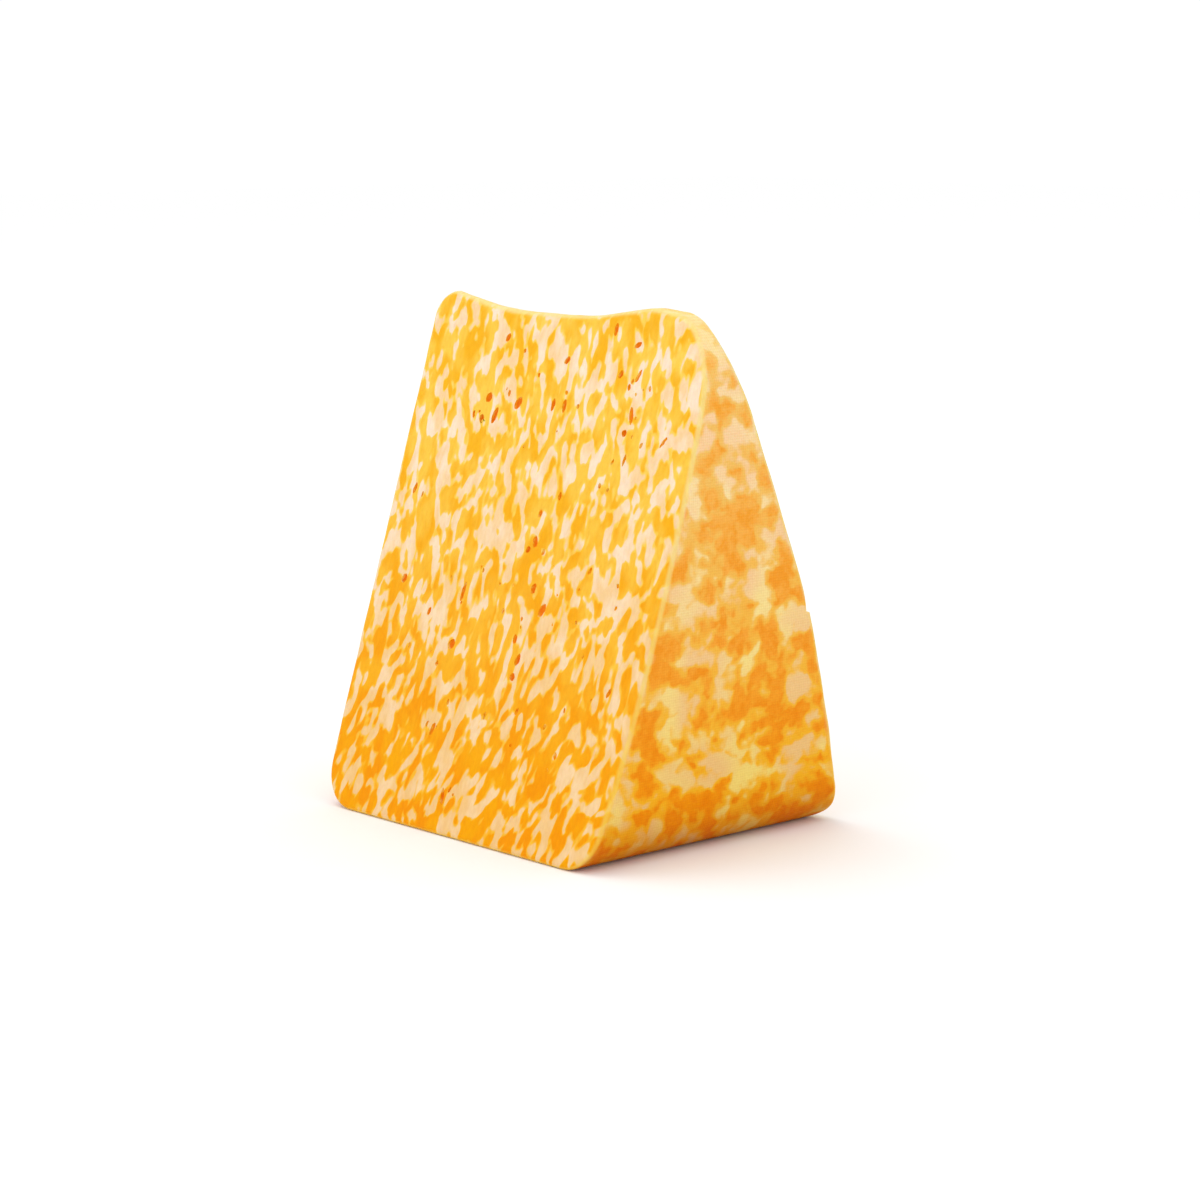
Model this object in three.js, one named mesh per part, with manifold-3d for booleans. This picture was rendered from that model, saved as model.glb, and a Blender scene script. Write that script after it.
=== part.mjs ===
// A wedge of marbled semi-hard cheese, cut from a wheel and standing on its wide end.
// Millimetres, +Z up. X runs across the wedge, from its left cut to its right cut,
// and Y through the thickness of the wheel, from its near flat side to its far one.
// The origin is at the middle of the base.

import * as THREE from "three";
import { mergeVertices } from "three/addons/utils/BufferGeometryUtils.js";
import Module from "manifold-3d";

const wasm = await Module();
wasm.setup();

// Main sizes of the wedge
const HEIGHT = 126;
const LEFT_FOOT_X = -40;
const THICKNESS = 100;

// The left cut is one plane. The right one was made in two strokes that meet at a nick,
// the lower stroke steeper, and it is rounded where it meets the base.
// All leans are mm across for each mm up.
const LEFT_LEAN = 0.308;
const LOWER_LEAN = 0.29;
const UPPER_LEAN = 0.4;
const NICK_HEIGHT = 53.5;
const NICK_X = 28.3;
const NICK_DEPTH = 0.7;
const NICK_LEAN = 0.17;
const NICK_REACH = 12;
const RIGHT_FOOT_RADIUS = 5;

// Width of the ridge along the top, at the far tip and at the near shoulder
const FAR_RIDGE_WIDTH = 3.2;
const NEAR_RIDGE_WIDTH = 6.2;
const RIDGE_BLEND = 3;

// The wheel's section, with its round corners and a near side that bellies out
const NEAR_FOOT_RADIUS = 10.5;
const FAR_FOOT_RADIUS = 10.5;
const NEAR_SHOULDER = { depth: 17, height: 25 };
const SHOULDER_DROP = 1.2;
const NEAR_BELLY = 3.8;
const BELLY_HEIGHTS = [76, 32];
const NEAR_OVERHANG = 2.3;
const FAR_TIP_RADIUS = 6.4;
const TIP_SET_BACK = 0.9;

// The hollow along the top: how far it lies below the tip at places along Y
const TOP_DIPS = [[33, 1.8], [20, 3.4], [6, 3.6], [-8, 3.3], [-18, 2.1], [-28, 0.7]];

// Softened edge between a cut and the outside of the wheel, and the most of a thin
// ridge's width that one such edge may take
const EDGE_RADIUS = 1.6;
const EDGE_SHARE = 0.42;

// Mesh density, the height of the middle of each cut, and how close corners are welded
const LOOP_POINTS = 100;
const EDGE_STEPS = 3;
const SIDE_STEPS = 5;
const CUT_RINGS = [0.97, 0.9, 0.72, 0.42];
const CUT_MIDDLE = 60;
const WELD = 1e-4;

// Larger openings of the left cut: along Y, up, long, wide, and how far each is turned, in degrees
const MAIN_OPENINGS = [
  [19, 116, 2.4, 1.5, 30],
  [21, 101.5, 2.6, 2.2, 20],
  [17.5, 97.5, 4.2, 1.8, 14],
  [22, 96.5, 2.2, 1.6, -10],
  [10, 101, 3.4, 2.2, 28],
  [-2.5, 101.5, 3.2, 1.3, 4],
  [-6.5, 101.5, 3.4, 1.4, -4],
  [-4, 112, 2.2, 1.6, 40],
  [-18.5, 120, 3, 1.4, 0],
  [-27, 117, 2.6, 1.4, 60],
  [-23.5, 110, 2.2, 1.4, 15],
  [-29.5, 110, 3.4, 1.1, 20],
  [-30, 101, 4.4, 1.2, -12],
  [-29, 97, 1.8, 1.6, 0],
  [-31, 91, 3.2, 0.9, 10],
  [-42.5, 96, 3.2, 0.9, 35],
  [41, 78, 3, 1.2, 12],
  [-6.5, 76.5, 2.2, 1.2, 10],
  [-12, 81, 2.2, 1.1, 0],
  [-7, 70, 3, 1.6, -15],
  [-5, 68, 1.8, 1.5, 20],
  [37.5, 56.5, 2.6, 1.8, 25],
  [14.5, 56, 5, 1.2, 8],
  [-10, 59.5, 2.6, 1.7, 10],
  [-14.5, 55, 3.6, 2.1, 24],
  [25.5, 50, 2.2, 1.3, 15],
  [14.5, 43.5, 2.8, 2.1, 35],
  [-7.5, 47.5, 2.4, 1.3, 0],
  [-10, 43, 3.2, 1.6, 16],
  [-9.5, 39, 2, 1.7, 30],
  [-43, 40, 2.6, 1.1, 25],
  [14.5, 23.5, 3.6, 1.3, 20],
  [5.5, 9, 4, 1.3, -8],
];

// How deep an opening goes once it is as wide as a full one, how far its middle lies
// under the cut, and how uneven its corners are
const OPENING_DEPTH = 1.9;
const FULL_OPENING_WIDTH = 1.6;
const OPENING_SUNK = 0.35;
const OPENING_ROUGHNESS = 0.28;

// Smaller openings, scattered by rule: every second one in a loose group
const SMALL_LEFT = 12;
const SMALL_RIGHT = 20;
const SMALL_WIDTH = { least: 0.8, spread: 0.6 };
const OPENING_GROUPS = [
  { y: -26, z: 106, spread: 9 },
  { y: -9, z: 60, spread: 12 },
  { y: 12, z: 30, spread: 20 },
];
const CLEAR_OF_EDGES = 10;
const SCATTER_SEED = 90;

const halfThickness = THICKNESS / 2;

// A seeded draw between 0 and 1, the same in every run
function makeDraw(seed) {
  let state = seed;
  return () => {
    state = (state * 1664525 + 1013904223) % 4294967296;
    return state / 4294967296;
  };
}

// The wheel's section, seen along X: Y to the right and Z up
function sectionOutline() {
  const near = -halfThickness;
  const far = halfThickness;
  const shoulderY = near - NEAR_OVERHANG + NEAR_SHOULDER.depth;
  const shoulderTop = HEIGHT - SHOULDER_DROP;
  const tipY = far - TIP_SET_BACK - FAR_TIP_RADIUS;
  const quarter = Math.PI / 2;
  const shape = new THREE.Shape();
  shape.moveTo(near + NEAR_FOOT_RADIUS, 0);
  shape.lineTo(far - FAR_FOOT_RADIUS, 0);
  shape.absarc(far - FAR_FOOT_RADIUS, FAR_FOOT_RADIUS, FAR_FOOT_RADIUS, -quarter, 0, false);
  shape.lineTo(far - TIP_SET_BACK, HEIGHT - FAR_TIP_RADIUS);
  shape.absarc(tipY, HEIGHT - FAR_TIP_RADIUS, FAR_TIP_RADIUS, 0, quarter, false);
  shape.splineThru([
    ...TOP_DIPS.map(([y, drop]) => new THREE.Vector2(y, HEIGHT - drop)),
    new THREE.Vector2(shoulderY, shoulderTop),
  ]);
  shape.absellipse(
    shoulderY,
    shoulderTop - NEAR_SHOULDER.height,
    NEAR_SHOULDER.depth,
    NEAR_SHOULDER.height,
    quarter,
    2 * quarter,
    false,
    0,
  );
  const [upper, lower] = BELLY_HEIGHTS;
  const belly = near - NEAR_BELLY;
  shape.bezierCurveTo(belly, upper, belly, lower, near, NEAR_FOOT_RADIUS);
  const footY = near + NEAR_FOOT_RADIUS;
  shape.absarc(footY, NEAR_FOOT_RADIUS, NEAR_FOOT_RADIUS, 2 * quarter, 3 * quarter, false);
  return shape;
}

// Points of the section with the direction that leads inwards at each
function sectionLoop() {
  const points = sectionOutline().getSpacedPoints(LOOP_POINTS).slice(0, LOOP_POINTS);
  return points.map((point, i) => {
    const before = points[(i + LOOP_POINTS - 1) % LOOP_POINTS];
    const after = points[(i + 1) % LOOP_POINTS];
    const along = after.clone().sub(before).normalize();
    return { point, inward: new THREE.Vector2(-along.y, along.x) };
  });
}

// Where the left cut stands at height z
function leftX(y, z) {
  return LEFT_FOOT_X + LEFT_LEAN * z;
}

// How wide the ridge is at y
function ridgeWidth(y) {
  const share = THREE.MathUtils.smoothstep(-y, 0, halfThickness * 0.8);
  return THREE.MathUtils.lerp(FAR_RIDGE_WIDTH, NEAR_RIDGE_WIDTH, share);
}

// Where the right cut stands: two straight strokes, rounded at the foot, that keep
// the width of the ridge as they near the left cut
function rightX(y, z) {
  const lean = z < NICK_HEIGHT ? LOWER_LEAN : UPPER_LEAN;
  const low = Math.max(RIGHT_FOOT_RADIUS - z, 0);
  const foot = RIGHT_FOOT_RADIUS - Math.sqrt(RIGHT_FOOT_RADIUS ** 2 - low ** 2);
  const left = leftX(y, z);
  const width = Math.max(NICK_X + lean * (NICK_HEIGHT - z) - foot - left, 0);
  return left + (width ** RIDGE_BLEND + ridgeWidth(y) ** RIDGE_BLEND) ** (1 / RIDGE_BLEND);
}

// How far the softened edge reaches in from a cut, less where the ridge is thin
function edgeReach(y, z) {
  return Math.min(EDGE_RADIUS, (rightX(y, z) - leftX(y, z)) * EDGE_SHARE);
}

// A place on the outside of the wheel, at a share of the way between the softened edges
function betweenCuts(y, z, share) {
  const reach = edgeReach(y, z);
  return THREE.MathUtils.lerp(leftX(y, z) + reach, rightX(y, z) - reach, share);
}

// One ring of the skin: the section pulled in, shrunk, and set across the wedge
function ring(loop, middle, { inset = 0, shrink = 1, place }) {
  return loop.map(({ point, inward }) => {
    const pulled = point.clone().addScaledVector(inward, inset * edgeReach(point.x, point.y));
    pulled.sub(middle).multiplyScalar(shrink).add(middle);
    return new THREE.Vector3(place(pulled.x, pulled.y), pulled.x, pulled.y);
  });
}

// All rings, from the middle of the left cut round to the middle of the right one
function skinRings() {
  const loop = sectionLoop();
  const middle = new THREE.Vector2(0, CUT_MIDDLE);
  const rings = [];
  for (const shrink of [...CUT_RINGS].reverse()) {
    rings.push(ring(loop, middle, { inset: 1, shrink, place: leftX }));
  }
  for (let i = 0; i <= EDGE_STEPS; i += 1) {
    const turn = (i / EDGE_STEPS) * (Math.PI / 2);
    const place = (y, z) => leftX(y, z) + edgeReach(y, z) * (1 - Math.cos(turn));
    rings.push(ring(loop, middle, { inset: 1 - Math.sin(turn), place }));
  }
  for (let i = 1; i < SIDE_STEPS; i += 1) {
    const share = i / SIDE_STEPS;
    rings.push(ring(loop, middle, { place: (y, z) => betweenCuts(y, z, share) }));
  }
  for (let i = EDGE_STEPS; i >= 0; i -= 1) {
    const turn = (i / EDGE_STEPS) * (Math.PI / 2);
    const place = (y, z) => rightX(y, z) - edgeReach(y, z) * (1 - Math.cos(turn));
    rings.push(ring(loop, middle, { inset: 1 - Math.sin(turn), place }));
  }
  for (const shrink of CUT_RINGS) {
    rings.push(ring(loop, middle, { inset: 1, shrink, place: rightX }));
  }
  const poles = [
    new THREE.Vector3(leftX(middle.x, middle.y), middle.x, middle.y),
    new THREE.Vector3(rightX(middle.x, middle.y), middle.x, middle.y),
  ];
  return { rings, poles };
}

// Joins the rings with triangles that face out and closes both ends
function skinGeometry() {
  const { rings, poles } = skinRings();
  const positions = [...rings.flat(), ...poles].flatMap((p) => [p.x, p.y, p.z]);
  const last = rings.length - 1;
  const leftPole = rings.length * LOOP_POINTS;
  const rightPole = leftPole + 1;
  const index = [];
  for (let i = 0; i < LOOP_POINTS; i += 1) {
    const j = (i + 1) % LOOP_POINTS;
    index.push(leftPole, j, i);
    for (let r = 0; r < last; r += 1) {
      const a = r * LOOP_POINTS;
      const b = a + LOOP_POINTS;
      index.push(a + i, a + j, b + j, a + i, b + j, b + i);
    }
    index.push(rightPole, last * LOOP_POINTS + i, last * LOOP_POINTS + j);
  }
  const geometry = new THREE.BufferGeometry();
  geometry.setAttribute("position", new THREE.Float32BufferAttribute(positions, 3));
  geometry.setIndex(index);
  return geometry;
}

// A closed mesh as a solid that can be joined and cut
function toSolid(geometry) {
  const bare = geometry.clone();
  bare.deleteAttribute("normal");
  bare.deleteAttribute("uv");
  const merged = mergeVertices(bare, WELD);
  const mesh = new wasm.Mesh({
    numProp: 3,
    vertProperties: Float32Array.from(merged.attributes.position.array),
    triVerts: Uint32Array.from(merged.index.array),
  });
  return new wasm.Manifold(mesh);
}

// A solid back as geometry
function toGeometry(solid) {
  const mesh = solid.getMesh();
  const geometry = new THREE.BufferGeometry();
  geometry.setAttribute("position", new THREE.Float32BufferAttribute(mesh.vertProperties, 3));
  geometry.setIndex(new THREE.BufferAttribute(mesh.triVerts, 1));
  geometry.computeVertexNormals();
  return geometry;
}

// The nick as a thin wedge that runs the whole thickness: a step, and a face that
// leans less than the upper stroke and so comes out of it a little higher up
function nickSolid() {
  const bottomX = NICK_X - NICK_DEPTH;
  const top = NICK_HEIGHT + NICK_REACH;
  const shape = new THREE.Shape();
  shape.moveTo(bottomX, NICK_HEIGHT);
  shape.lineTo(bottomX + NICK_REACH, NICK_HEIGHT);
  shape.lineTo(bottomX + NICK_REACH, top);
  shape.lineTo(bottomX - NICK_LEAN * NICK_REACH, top);
  shape.closePath();
  const length = THICKNESS + 2 * NICK_REACH;
  const geometry = new THREE.ExtrudeGeometry(shape, { depth: length, bevelEnabled: false });
  geometry.rotateX(Math.PI / 2);
  geometry.translate(0, length / 2, 0);
  return toSolid(geometry);
}

// One small angular opening, sunk into a cut at a place along Y and up
function openingSolid(cut, { y, z, long, wide, turn }, draw) {
  const step = 0.5;
  const lean = (cut.x(y, z + step) - cut.x(y, z - step)) / (2 * step);
  const up = new THREE.Vector3(lean, 0, 1).normalize();
  const along = new THREE.Vector3(0, cut.side, 0);
  const out = new THREE.Vector3().crossVectors(along, up).normalize();
  const geometry = new THREE.IcosahedronGeometry(1, 0);
  geometry.deleteAttribute("normal");
  geometry.deleteAttribute("uv");
  const lump = mergeVertices(geometry, WELD);
  const corner = new THREE.Vector3();
  for (let i = 0; i < lump.attributes.position.count; i += 1) {
    corner.fromBufferAttribute(lump.attributes.position, i);
    corner.multiplyScalar(1 + (draw() * 2 - 1) * OPENING_ROUGHNESS);
    lump.attributes.position.setXYZ(i, corner.x, corner.y, corner.z);
  }
  lump.scale(wide / 2, long / 2, OPENING_DEPTH * Math.min(1, wide / FULL_OPENING_WIDTH));
  lump.rotateZ(THREE.MathUtils.degToRad(cut.side * turn));
  const place = new THREE.Matrix4().makeBasis(along, up, out);
  place.setPosition(new THREE.Vector3(cut.x(y, z), y, z).addScaledVector(out, -OPENING_SUNK));
  lump.applyMatrix4(place);
  return toSolid(lump);
}

// Small openings by rule: some in loose groups, and the rest anywhere clear of the edges
function scatteredOpenings(count, draw) {
  const between = (low, high) => low + (high - low) * draw();
  return Array.from({ length: count }, (unused, i) => {
    const group = OPENING_GROUPS[i % OPENING_GROUPS.length];
    const free = i % 2 === 0;
    const side = halfThickness - CLEAR_OF_EDGES;
    const y = free ? between(-side, side) : group.y + between(-group.spread, group.spread);
    const top = HEIGHT - CLEAR_OF_EDGES;
    const z = free ? between(CLEAR_OF_EDGES, top) : group.z + between(-group.spread, group.spread);
    const wide = SMALL_WIDTH.least + SMALL_WIDTH.spread * draw();
    return { y, z, wide, long: wide * between(1.1, 2.2), turn: between(-15, 35) };
  });
}

// The wedge with the nick and every opening cut out of it
function cheeseGeometry() {
  const draw = makeDraw(SCATTER_SEED);
  const left = { x: leftX, side: -1 };
  const right = { x: rightX, side: 1 };
  const main = MAIN_OPENINGS.map(([y, z, long, wide, turn]) => ({ y, z, long, wide, turn }));
  let solid = toSolid(skinGeometry()).subtract(nickSolid());
  for (const opening of [...main, ...scatteredOpenings(SMALL_LEFT, draw)]) {
    solid = solid.subtract(openingSolid(left, opening, draw));
  }
  for (const opening of scatteredOpenings(SMALL_RIGHT, draw)) {
    solid = solid.subtract(openingSolid(right, opening, draw));
  }
  return toGeometry(solid);
}

// Moves the geometry so that the origin is at the middle of its base
function centreOnBase(geometry) {
  geometry.computeBoundingBox();
  const middle = geometry.boundingBox.getCenter(new THREE.Vector3());
  geometry.translate(-middle.x, -middle.y, -geometry.boundingBox.min.z);
  return geometry;
}

const cheeseMaterial = new THREE.MeshStandardMaterial({
  color: 0xf9c262,
  roughness: 0.5,
  metalness: 0,
});

const cheese = new THREE.Mesh(centreOnBase(cheeseGeometry()), cheeseMaterial);
cheese.name = "cheese";

const group = new THREE.Group();
group.add(cheese);

export default group;
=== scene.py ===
# A wedge of marbled cheese, cut from a wheel and standing on its wide end on a pale floor.
# X runs from the left cut to the right cut, Y through the thickness of the wheel, Z up.
# Sizes are in millimetres until the mesh is finished, which puts it in metres, in the
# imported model's frame.

import math
import random

import bmesh
import bpy
import numpy as np
from mathutils import Euler, Matrix, Vector, geometry, kdtree, noise


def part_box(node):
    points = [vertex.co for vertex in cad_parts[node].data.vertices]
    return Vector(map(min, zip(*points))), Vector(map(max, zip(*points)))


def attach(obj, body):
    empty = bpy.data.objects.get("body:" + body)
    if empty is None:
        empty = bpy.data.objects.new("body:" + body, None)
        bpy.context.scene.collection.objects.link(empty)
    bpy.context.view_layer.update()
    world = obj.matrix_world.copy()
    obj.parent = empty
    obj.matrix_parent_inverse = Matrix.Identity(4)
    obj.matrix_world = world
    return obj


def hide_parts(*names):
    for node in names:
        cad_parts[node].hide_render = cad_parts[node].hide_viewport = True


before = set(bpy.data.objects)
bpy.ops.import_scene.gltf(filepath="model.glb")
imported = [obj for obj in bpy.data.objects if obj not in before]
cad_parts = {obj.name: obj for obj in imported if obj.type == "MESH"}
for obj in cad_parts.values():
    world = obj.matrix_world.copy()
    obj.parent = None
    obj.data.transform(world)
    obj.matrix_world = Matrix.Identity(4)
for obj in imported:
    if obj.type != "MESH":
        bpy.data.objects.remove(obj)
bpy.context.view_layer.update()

MM = 0.001

# Main sizes, as the solid has them
HEIGHT = 126.0
HALF_THICKNESS = 50.0

# The wheel's section: near and far are along Y, and each dip is a Y and its depth
FOOT_RADIUS = 10.5
SHOULDER_DEPTH = 17.0
SHOULDER_HEIGHT = 25.0
SHOULDER_DROP = 1.2
NEAR_BELLY = 3.8
BELLY_HEIGHTS = (76.0, 32.0)
NEAR_OVERHANG = 2.3
FAR_TIP_RADIUS = 6.4
TIP_SET_BACK = 0.9
TOP_DIPS = [(33, 1.8), (20, 3.4), (6, 3.6), (-8, 3.3), (-18, 2.1), (-28, 0.7)]

# The cuts: a lean is how far a cut moves in X for each mm up. The ridge between them widens
# towards the near end, over this share of the near half.
LEFT_FOOT_X = -40.0
LEFT_LEAN = 0.308
LOWER_LEAN = 0.29
UPPER_LEAN = 0.4
RIGHT_FOOT_RADIUS = 5.0
FAR_RIDGE_WIDTH = 3.2
NEAR_RIDGE_WIDTH = 6.2
RIDGE_WIDENS = 0.8
RIDGE_BLEND = 3.0
EDGE_RADIUS = 1.6
EDGE_SHARE = 0.42

# The nick in the right cut, which is a little deeper here than in the solid
NICK_HEIGHT = 53.5
NICK_X = 28.3
NICK_DEPTH = 2.0
NICK_LEAN = 0.17
NICK_REACH = 12.0
NICK_TOP = NICK_HEIGHT + NICK_REACH

# Mesh: the distance between neighbouring corners, the share of it that the filling keeps from
# a border, the steps round a softened edge and along a curve, the distances that count as
# none, and the angle in degrees past which an edge is sharp
SPACING = 1.1
CLEAR_OF_BORDER = 0.62
EDGE_STEPS = 6
CURVE_STEPS = 40
SAME_POINT = 1e-9
SAME_CORNER = 2e-4
THINNEST_EDGE = 1e-4
FILL_ACCURACY = 1e-6
SHARP_ANGLE = 38


# The wheel's section

def spline(points):
    """A smooth curve through points, in short steps"""
    pieces = []
    last = len(points) - 1
    for i in range(last):
        before, start = points[max(i - 1, 0)], points[i]
        end, after = points[i + 1], points[min(i + 2, last)]
        out, into = (end - before) / 2, (after - start) / 2
        t = np.linspace(0, 1, CURVE_STEPS, endpoint=False)[:, None]
        pieces.append((2 * start - 2 * end + out + into) * t ** 3
                      + (3 * end - 3 * start - 2 * out - into) * t ** 2 + out * t + start)
    return np.vstack(pieces + [points[-1:]])


def arc(centre, radii, start, stop):
    """Part of a circle or ellipse, between two angles in quarter turns"""
    turn = np.linspace(start, stop, CURVE_STEPS) * math.pi / 2
    return np.stack([centre[0] + radii[0] * np.cos(turn), centre[1] + radii[1] * np.sin(turn)], 1)


def near_belly(start, end):
    """The slightly full outside of the near end, from the shoulder down to the foot"""
    upper, lower = (np.array([-HALF_THICKNESS - NEAR_BELLY, z]) for z in BELLY_HEIGHTS)
    t = np.linspace(0, 1, CURVE_STEPS * 2)[:, None]
    return (np.array(start) * (1 - t) ** 3 + 3 * upper * t * (1 - t) ** 2
            + 3 * lower * t ** 2 * (1 - t) + np.array(end) * t ** 3)


def section_curve():
    """The closed section, Y and Z, from the middle of the base round to it again,
    and how far along it each point lies"""
    near, far = -HALF_THICKNESS, HALF_THICKNESS
    shoulder_y = near - NEAR_OVERHANG + SHOULDER_DEPTH
    shoulder_top = HEIGHT - SHOULDER_DROP
    shoulder_low = shoulder_top - SHOULDER_HEIGHT
    tip_y = far - TIP_SET_BACK - FAR_TIP_RADIUS
    tip_z = HEIGHT - FAR_TIP_RADIUS
    foot = (FOOT_RADIUS, FOOT_RADIUS)
    top = [(tip_y, HEIGHT)] + [(y, HEIGHT - drop) for y, drop in TOP_DIPS]
    parts = [
        np.array([[0.0, 0.0]]),
        arc((far - FOOT_RADIUS, FOOT_RADIUS), foot, -1, 0),
        arc((tip_y, tip_z), (FAR_TIP_RADIUS, FAR_TIP_RADIUS), 0, 1),
        spline(np.array(top + [(shoulder_y, shoulder_top)], float)),
        arc((shoulder_y, shoulder_low), (SHOULDER_DEPTH, SHOULDER_HEIGHT), 1, 2),
        near_belly((near - NEAR_OVERHANG, shoulder_low), (near, FOOT_RADIUS)),
        arc((near + FOOT_RADIUS, FOOT_RADIUS), foot, 2, 3),
        np.array([[0.0, 0.0]]),
    ]
    curve = np.vstack(parts)
    steps = np.linalg.norm(np.diff(curve, axis=0), axis=1)
    curve = curve[np.concatenate([[True], steps > SAME_POINT])]
    run = np.concatenate([[0], np.cumsum(np.linalg.norm(np.diff(curve, axis=0), axis=1))])
    return curve, run


CURVE, RUN = section_curve()
LOOP_COUNT = int(round(RUN[-1] / SPACING))
LOOP_RUN = np.linspace(0, RUN[-1], LOOP_COUNT + 1)


def on_section(run):
    """Y and Z at distances along the section"""
    return np.stack([np.interp(run, RUN, CURVE[:, 0]), np.interp(run, RUN, CURVE[:, 1])], -1)


# The two cuts

def left_x(y, z):
    """Where the left cut lies, which is flat, so the same for every Y"""
    return LEFT_FOOT_X + LEFT_LEAN * z


def ridge_width(y):
    """How wide the ridge is: narrow at the far end, wider towards the near one"""
    share = np.clip(-y / (HALF_THICKNESS * RIDGE_WIDENS), 0, 1)
    share = share * share * (3 - 2 * share)
    return FAR_RIDGE_WIDTH + (NEAR_RIDGE_WIDTH - FAR_RIDGE_WIDTH) * share


def right_x(y, z):
    """Where the right cut lies, with its rounded foot below and the ridge's width above"""
    lean = np.where(z < NICK_HEIGHT, LOWER_LEAN, UPPER_LEAN)
    low = np.maximum(RIGHT_FOOT_RADIUS - z, 0)
    foot = RIGHT_FOOT_RADIUS - np.sqrt(np.maximum(RIGHT_FOOT_RADIUS ** 2 - low ** 2, 0))
    left = left_x(y, z)
    width = np.maximum(NICK_X + lean * (NICK_HEIGHT - z) - foot - left, 0)
    return left + (width ** RIDGE_BLEND + ridge_width(y) ** RIDGE_BLEND) ** (1 / RIDGE_BLEND)


def edge_reach(y, z):
    """How far a softened edge reaches, less where the ridge is narrow"""
    return np.minimum(EDGE_RADIUS, (right_x(y, z) - left_x(y, z)) * EDGE_SHARE)


# The skin, as even triangles

def inside(polygon, points):
    """Which points lie inside a closed polygon"""
    found = np.zeros(len(points), bool)
    for (x0, y0), (x1, y1) in zip(polygon, np.roll(polygon, -1, 0)):
        crosses = (y0 > points[:, 1]) != (y1 > points[:, 1])
        with np.errstate(divide="ignore", invalid="ignore"):
            at = (x1 - x0) * (points[:, 1] - y0) / (y1 - y0) + x0
        found ^= crosses & (points[:, 0] < at)
    return found


def even_triangles(polygon):
    """Fills a flat polygon with evenly spaced corners; gives corners and triangles"""
    low, high = polygon.min(0), polygon.max(0)
    rows = np.arange(low[1], high[1], SPACING * math.sqrt(0.75))
    grid = []
    for i, v in enumerate(rows):
        u = np.arange(low[0] + (i % 2) * SPACING / 2, high[0], SPACING)
        grid.append(np.stack([u, np.full_like(u, v)], 1))
    grid = np.vstack(grid)
    grid = grid[inside(polygon, grid)]
    tree = kdtree.KDTree(len(polygon))
    for i, (u, v) in enumerate(polygon):
        tree.insert((u, v, 0), i)
    tree.balance()
    clear = [tree.find((u, v, 0))[2] > SPACING * CLEAR_OF_BORDER for u, v in grid]
    corners = np.vstack([polygon, grid[np.array(clear)]])
    count = len(polygon)
    edges = [(i, (i + 1) % count) for i in range(count)]
    found = geometry.delaunay_2d_cdt([Vector(c) for c in corners], edges, [], 1, FILL_ACCURACY)
    return np.array([tuple(v) for v in found[0]]), [tuple(f) for f in found[2]]


def edge_ring(loop, inward, surface, direction, turn):
    """One ring round a softened edge: at 0 it lies in the cut, at a quarter turn on the side"""
    reach = edge_reach(loop[:, 0], loop[:, 1])
    pulled = loop + inward * (reach * (1 - math.sin(turn)))[:, None]
    reach = edge_reach(pulled[:, 0], pulled[:, 1])
    x = surface(pulled[:, 0], pulled[:, 1]) + direction * reach * (1 - math.cos(turn))
    return np.column_stack([x, pulled])


def wedge_skin():
    """The closed skin of the wedge, with its softened edges, as a mesh of triangles"""
    loop = on_section(LOOP_RUN[:-1])
    along = np.roll(loop, -1, 0) - np.roll(loop, 1, 0)
    along /= np.linalg.norm(along, axis=1)[:, None]
    inward = np.stack([-along[:, 1], along[:, 0]], 1)
    corners, faces = [], []

    def add(points, triangles):
        start = sum(len(c) for c in corners)
        corners.append(points)
        faces.extend(tuple(start + i for i in f) for f in triangles)

    sides = []
    for surface, direction in ((left_x, 1), (right_x, -1)):
        turns = np.linspace(0, math.pi / 2, EDGE_STEPS + 1)
        rings = [edge_ring(loop, inward, surface, direction, t) for t in turns]
        flat, triangles = even_triangles(rings[0][:, 1:])
        add(np.column_stack([surface(flat[:, 0], flat[:, 1]), flat]), triangles)
        count = len(loop)
        quads = []
        for inner in range(0, EDGE_STEPS * count, count):
            outer = inner + count
            for i in range(count):
                j = (i + 1) % count
                quads.append((inner + i, inner + j, outer + j, outer + i))
        add(np.vstack(rings), quads)
        sides.append(rings[-1][:, 0])
    left, right = (np.append(side, side[0]) for side in sides)
    # the side between the cuts is filled unrolled, as distance along the section by X
    steps = int(round((right[0] - left[0]) / SPACING))
    seam = np.linspace(left[0], right[0], steps + 1)[1:-1]
    unrolled = np.vstack([
        np.column_stack([LOOP_RUN, left]),
        np.column_stack([np.full_like(seam, LOOP_RUN[-1]), seam]),
        np.column_stack([LOOP_RUN, right])[::-1],
        np.column_stack([np.zeros_like(seam), seam[::-1]]),
    ])
    flat, triangles = even_triangles(unrolled)
    add(np.column_stack([flat[:, 1], on_section(flat[:, 0])]), triangles)
    mesh = bpy.data.meshes.new("wedge_skin")
    mesh.from_pydata(np.vstack(corners).tolist(), [], faces)
    shaper = bmesh.new()
    shaper.from_mesh(mesh)
    bmesh.ops.remove_doubles(shaper, verts=shaper.verts, dist=SAME_CORNER)
    bmesh.ops.dissolve_degenerate(shaper, edges=shaper.edges, dist=THINNEST_EDGE)
    bmesh.ops.triangulate(shaper, faces=shaper.faces)
    bmesh.ops.recalc_face_normals(shaper, faces=shaper.faces)
    shaper.to_mesh(mesh)
    shaper.free()
    return mesh


# Low relief in mm: how high each layer is, the size of its lumps along X, Y and Z, and where
# in the noise it starts
CUT_RELIEF = [(0.13, (30, 30, 34), 3), (0.04, (6, 2.4, 14), 11)]
RIND_RELIEF = [(0.3, (13, 13, 13), 21), (0.1, (3.4, 3.4, 3.4), 31)]
RIM_RELIEF = [(0.16, (5, 5, 7), 41)]

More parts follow.
